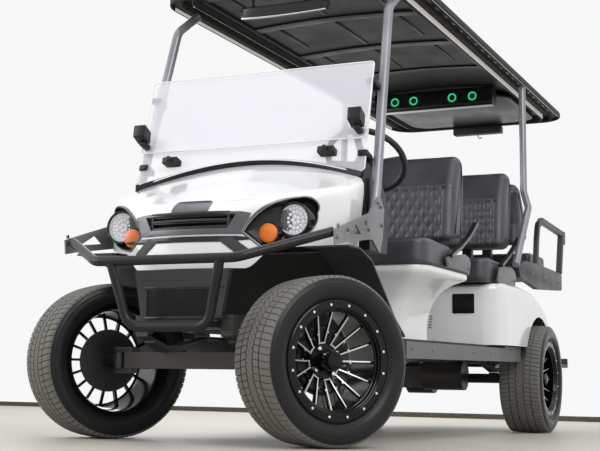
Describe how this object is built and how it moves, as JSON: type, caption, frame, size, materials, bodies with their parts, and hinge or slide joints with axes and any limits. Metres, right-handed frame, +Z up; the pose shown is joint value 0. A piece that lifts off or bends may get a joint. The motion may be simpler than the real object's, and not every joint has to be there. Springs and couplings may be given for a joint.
{
  "type": "six-seat lifted golf cart",
  "caption": "Lifted golf cart with seats for six in rows, long flat roof, folded windshield, tubular brush guard and a rear-facing seat with a foot platform.",
  "frame": {"origin": "on the floor, under the middle of the whole cart", "axes": "+Z up; the cart faces -Y; +X is its left side, where the driver sits"},
  "size_m": [1.4082, 4.0038, 2.0054],
  "materials": {
    "gloss_white": "gloss white moulded plastic",
    "black_plastic": "fine-grained black plastic",
    "black_gloss": "gloss black plastic",
    "graphite": "satin graphite powder coat",
    "grey_metal": "satin grey powder coat",
    "chassis_black": "satin black paint",
    "spring_steel": "dark oiled steel",
    "seat_leather": "black quilted artificial leather",
    "tyre": "moulded black rubber",
    "rim_black": "gloss black with machined spoke edges",
    "clear_sheet": "clear acrylic with a slight lavender tint",
    "lamp_lens": "clear lens over a chrome reflector",
    "amber_lens": "amber lens",
    "mirror": "convex mirror in a black case",
    "black_rubber": "moulded rubber"
  },
  "bodies": {
    "chassis": {"arm_frames": "graphite", "battery_pack": "black_plastic", "brush_guard": "graphite", "controls": "black_plastic", "cowl": "gloss_white", "dashboard": "black_plastic", "fender_flares": "black_plastic", "floor": "black_rubber", "frame": "chassis_black", "front_axle": "chassis_black", "front_back": "seat_leather", "grilles": "black_plastic", "headlamps": "lamp_lens", "hip_restraints": "grey_metal", "lamp_trays": "black_gloss", "middle_back": "seat_leather", "mirror": "mirror", "rear_axle": "chassis_black", "rear_back": "seat_leather", "rear_body": "gloss_white", "rear_platforms": "graphite", "roof": "black_plastic", "roof_fittings": "black_gloss", "roof_struts": "graphite", "seat_base": "gloss_white", "seat_posts": "chassis_black", "sills": "black_plastic", "springs": "spring_steel", "strut_brackets": "grey_metal", "turn_lamps": "amber_lens", "windshield_clips": "black_rubber", "windshield_lower": "clear_sheet", "windshield_upper": "clear_sheet"},
    "knuckle_left": {"knuckle_left": "chassis_black"},
    "knuckle_right": {"knuckle_right": "chassis_black"},
    "wheel_front_left": {"tyre_front_left": "tyre", "rim_front_left": "rim_black"},
    "wheel_front_right": {"tyre_front_right": "tyre", "rim_front_right": "rim_black"},
    "wheel_rear_left": {"tyre_rear_left": "tyre", "rim_rear_left": "rim_black"},
    "wheel_rear_right": {"tyre_rear_right": "tyre", "rim_rear_right": "rim_black"},
    "steering_wheel": {"steering_wheel": "black_rubber"},
    "front_seat_lid": {"front_cushion": "seat_leather"},
    "middle_seat_lid": {"middle_cushion": "seat_leather"},
    "rear_seat_lid": {"rear_cushion": "seat_leather"}
  },
  "joints": [
    {"name": "steer_left", "type": "hinge", "parent": "chassis", "child": "knuckle_left", "pos_m": [0.3815, -1.6421, 0.292], "axis": [0, 0, 1], "range_deg": [0, 64]},
    {"name": "spin_front_left", "type": "hinge", "parent": "knuckle_left", "child": "wheel_front_left", "pos_m": [0.46631, -1.69509, 0.292], "axis": [0.848, -0.5299, 0], "continuous": true},
    {"name": "spin_rear_left", "type": "hinge", "parent": "chassis", "child": "wheel_rear_left", "pos_m": [0.5425, 1.0799, 0.292], "axis": [1, 0, 0], "continuous": true},
    {"name": "steer_right", "type": "hinge", "parent": "chassis", "child": "knuckle_right", "pos_m": [-0.3815, -1.6421, 0.292], "axis": [0, 0, 1], "range_deg": [0, 64]},
    {"name": "spin_front_right", "type": "hinge", "parent": "knuckle_right", "child": "wheel_front_right", "pos_m": [-0.46631, -1.58911, 0.292], "axis": [0.848, -0.5299, 0], "continuous": true},
    {"name": "spin_rear_right", "type": "hinge", "parent": "chassis", "child": "wheel_rear_right", "pos_m": [-0.5425, 1.0799, 0.292], "axis": [1, 0, 0], "continuous": true},
    {"name": "steering_turn", "type": "hinge", "parent": "chassis", "child": "steering_wheel", "pos_m": [0.3, -0.86457, 1.16065], "axis": [0, 0.6225, 0.7826], "range_deg": [0, 640]},
    {"name": "front_seat_lift", "type": "hinge", "parent": "chassis", "child": "front_seat_lid", "pos_m": [0, -0.77309, 0.7232], "axis": [1, 0, 0], "range_deg": [0, 45]},
    {"name": "middle_seat_lift", "type": "hinge", "parent": "chassis", "child": "middle_seat_lid", "pos_m": [0, 0.20657, 0.74885], "axis": [1, 0, 0], "range_deg": [0, 45]},
    {"name": "rear_seat_flip", "type": "hinge", "parent": "chassis", "child": "rear_seat_lid", "pos_m": [0, 1.59748, 0.92332], "axis": [-1, 0, 0], "range_deg": [0, 180]}
  ],
  "couplings": [
    {"joint": "steer_right", "follows": "steer_left", "ratio": 1},
    {"joint": "steering_turn", "follows": "steer_left", "ratio": 10}
  ]
}
